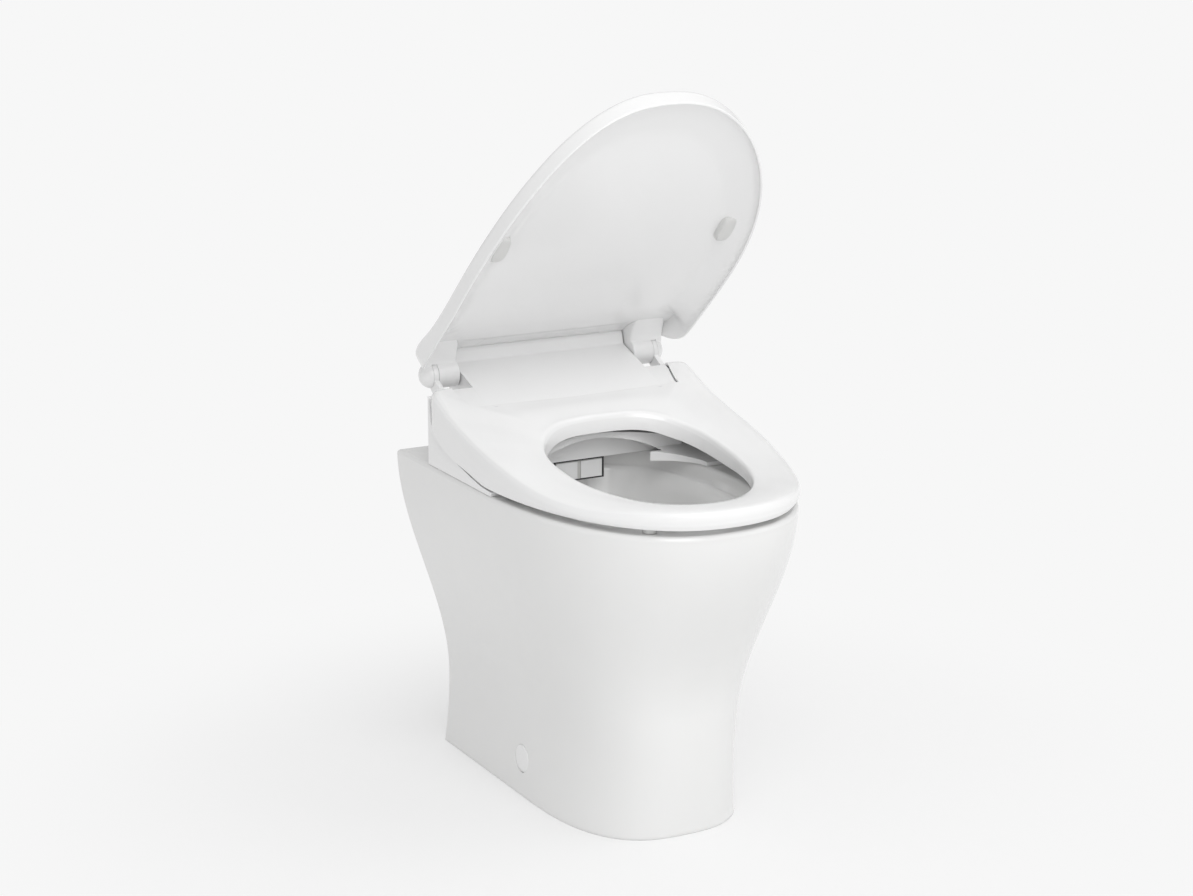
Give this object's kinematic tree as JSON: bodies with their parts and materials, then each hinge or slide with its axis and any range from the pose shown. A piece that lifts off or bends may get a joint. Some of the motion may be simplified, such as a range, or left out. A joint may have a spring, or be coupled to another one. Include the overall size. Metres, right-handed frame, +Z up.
{
  "type": "toilet with bidet seat",
  "caption": "Floor-standing skirted toilet pan with a bidet unit, a heated ring seat and a lid held half open.",
  "frame": {"origin": "on the floor, at the middle of the bounding box in plan", "axes": "+X to the right of someone who faces the front, +Y towards the wall behind, +Z up"},
  "size_m": [0.3884, 0.563, 0.9231],
  "materials": {
    "vitreous_china": "glazed",
    "white_plastic": "gloss",
    "pale_plastic": "matt",
    "dark_plastic": "matt",
    "soft_rubber": "matt",
    "black_rubber": "matt",
    "steel": "brushed",
    "circuit_board": "satin",
    "heating_foil": "foil"
  },
  "bodies": {
    "base": {"pan": "vitreous_china", "trapway": "vitreous_china", "inlet_seal": "black_rubber", "floor_brackets": "steel", "floor_screws": "steel", "side_screws": "steel", "side_caps": "white_plastic", "mounting_plate": "pale_plastic", "deck_bolts": "steel", "deck_washers": "black_rubber", "deck_nuts": "pale_plastic", "base_casing": "white_plastic", "top_cover": "white_plastic", "rear_cover": "white_plastic", "nozzle_block": "pale_plastic", "nozzle_frame": "dark_plastic", "wand_motors": "dark_plastic", "inlet_valve": "pale_plastic", "water_heater": "steel", "pump": "dark_plastic", "board_posts": "steel", "control_board": "circuit_board", "deodoriser": "pale_plastic", "power_gland": "pale_plastic", "fan_housing": "pale_plastic", "fan_motor": "dark_plastic", "dryer_duct": "dark_plastic", "hinge_shafts": "steel", "hinge_dampers": "dark_plastic", "hinge_brackets": "pale_plastic"},
    "seat": {"seat_top": "white_plastic", "seat_base": "white_plastic", "seat_heater": "heating_foil", "seat_bumpers": "soft_rubber"},
    "lid": {"lid_shell": "white_plastic", "lid_arms": "white_plastic", "lid_pads": "soft_rubber"},
    "rear_wand_slider": {"rear_wand": "white_plastic"},
    "front_wand_slider": {"front_wand": "white_plastic"},
    "left_door": {"nozzle_door_left": "white_plastic"},
    "right_door": {"nozzle_door_right": "white_plastic"},
    "flap": {"dryer_flap": "dark_plastic"},
    "impeller": {"fan_impeller": "dark_plastic"},
    "button": {"release_button": "white_plastic"}
  },
  "joints": [
    {"name": "seat_hinge", "type": "hinge", "parent": "base", "child": "seat", "pos_m": [0, 0.2245, 0.5295], "axis": [-1, 0, 0], "range_deg": [0, 55]},
    {"name": "lid_hinge", "type": "hinge", "parent": "base", "child": "lid", "pos_m": [0, 0.2245, 0.5295], "axis": [-1, 0, 0], "range_deg": [-56.6, 43]},
    {"name": "rear_wand_slide", "type": "slide", "parent": "base", "child": "rear_wand_slider", "axis": [0, -0.8192, -0.5736], "range_m": [0, 0.105]},
    {"name": "front_wand_slide", "type": "slide", "parent": "base", "child": "front_wand_slider", "axis": [0, -0.8192, -0.5736], "range_m": [0, 0.105]},
    {"name": "left_door_hinge", "type": "hinge", "parent": "base", "child": "left_door", "pos_m": [-0.018, 0.1222, 0.41655], "axis": [-1, 0, 0], "range_deg": [0, 90]},
    {"name": "right_door_hinge", "type": "hinge", "parent": "base", "child": "right_door", "pos_m": [0.018, 0.1222, 0.41655], "axis": [-1, 0, 0], "range_deg": [0, 90]},
    {"name": "flap_hinge", "type": "hinge", "parent": "base", "child": "flap", "pos_m": [-0.05, 0.121, 0.418], "axis": [-1, 0, 0], "range_deg": [0, 70], "stiffness_Nm_per_rad": 0.002},
    {"name": "fan_spin", "type": "hinge", "parent": "base", "child": "impeller", "pos_m": [-0.098, 0.2215, 0.432], "axis": [0, 0, 1], "continuous": true},
    {"name": "button_slide", "type": "slide", "parent": "base", "child": "button", "axis": [-1, 0, 0], "range_m": [0, 0.002], "stiffness_N_per_m": 300}
  ],
  "couplings": [
    {"joint": "left_door_hinge", "follows": "rear_wand_slide", "rad_per_m": 14.95},
    {"joint": "right_door_hinge", "follows": "front_wand_slide", "rad_per_m": 14.95}
  ]
}
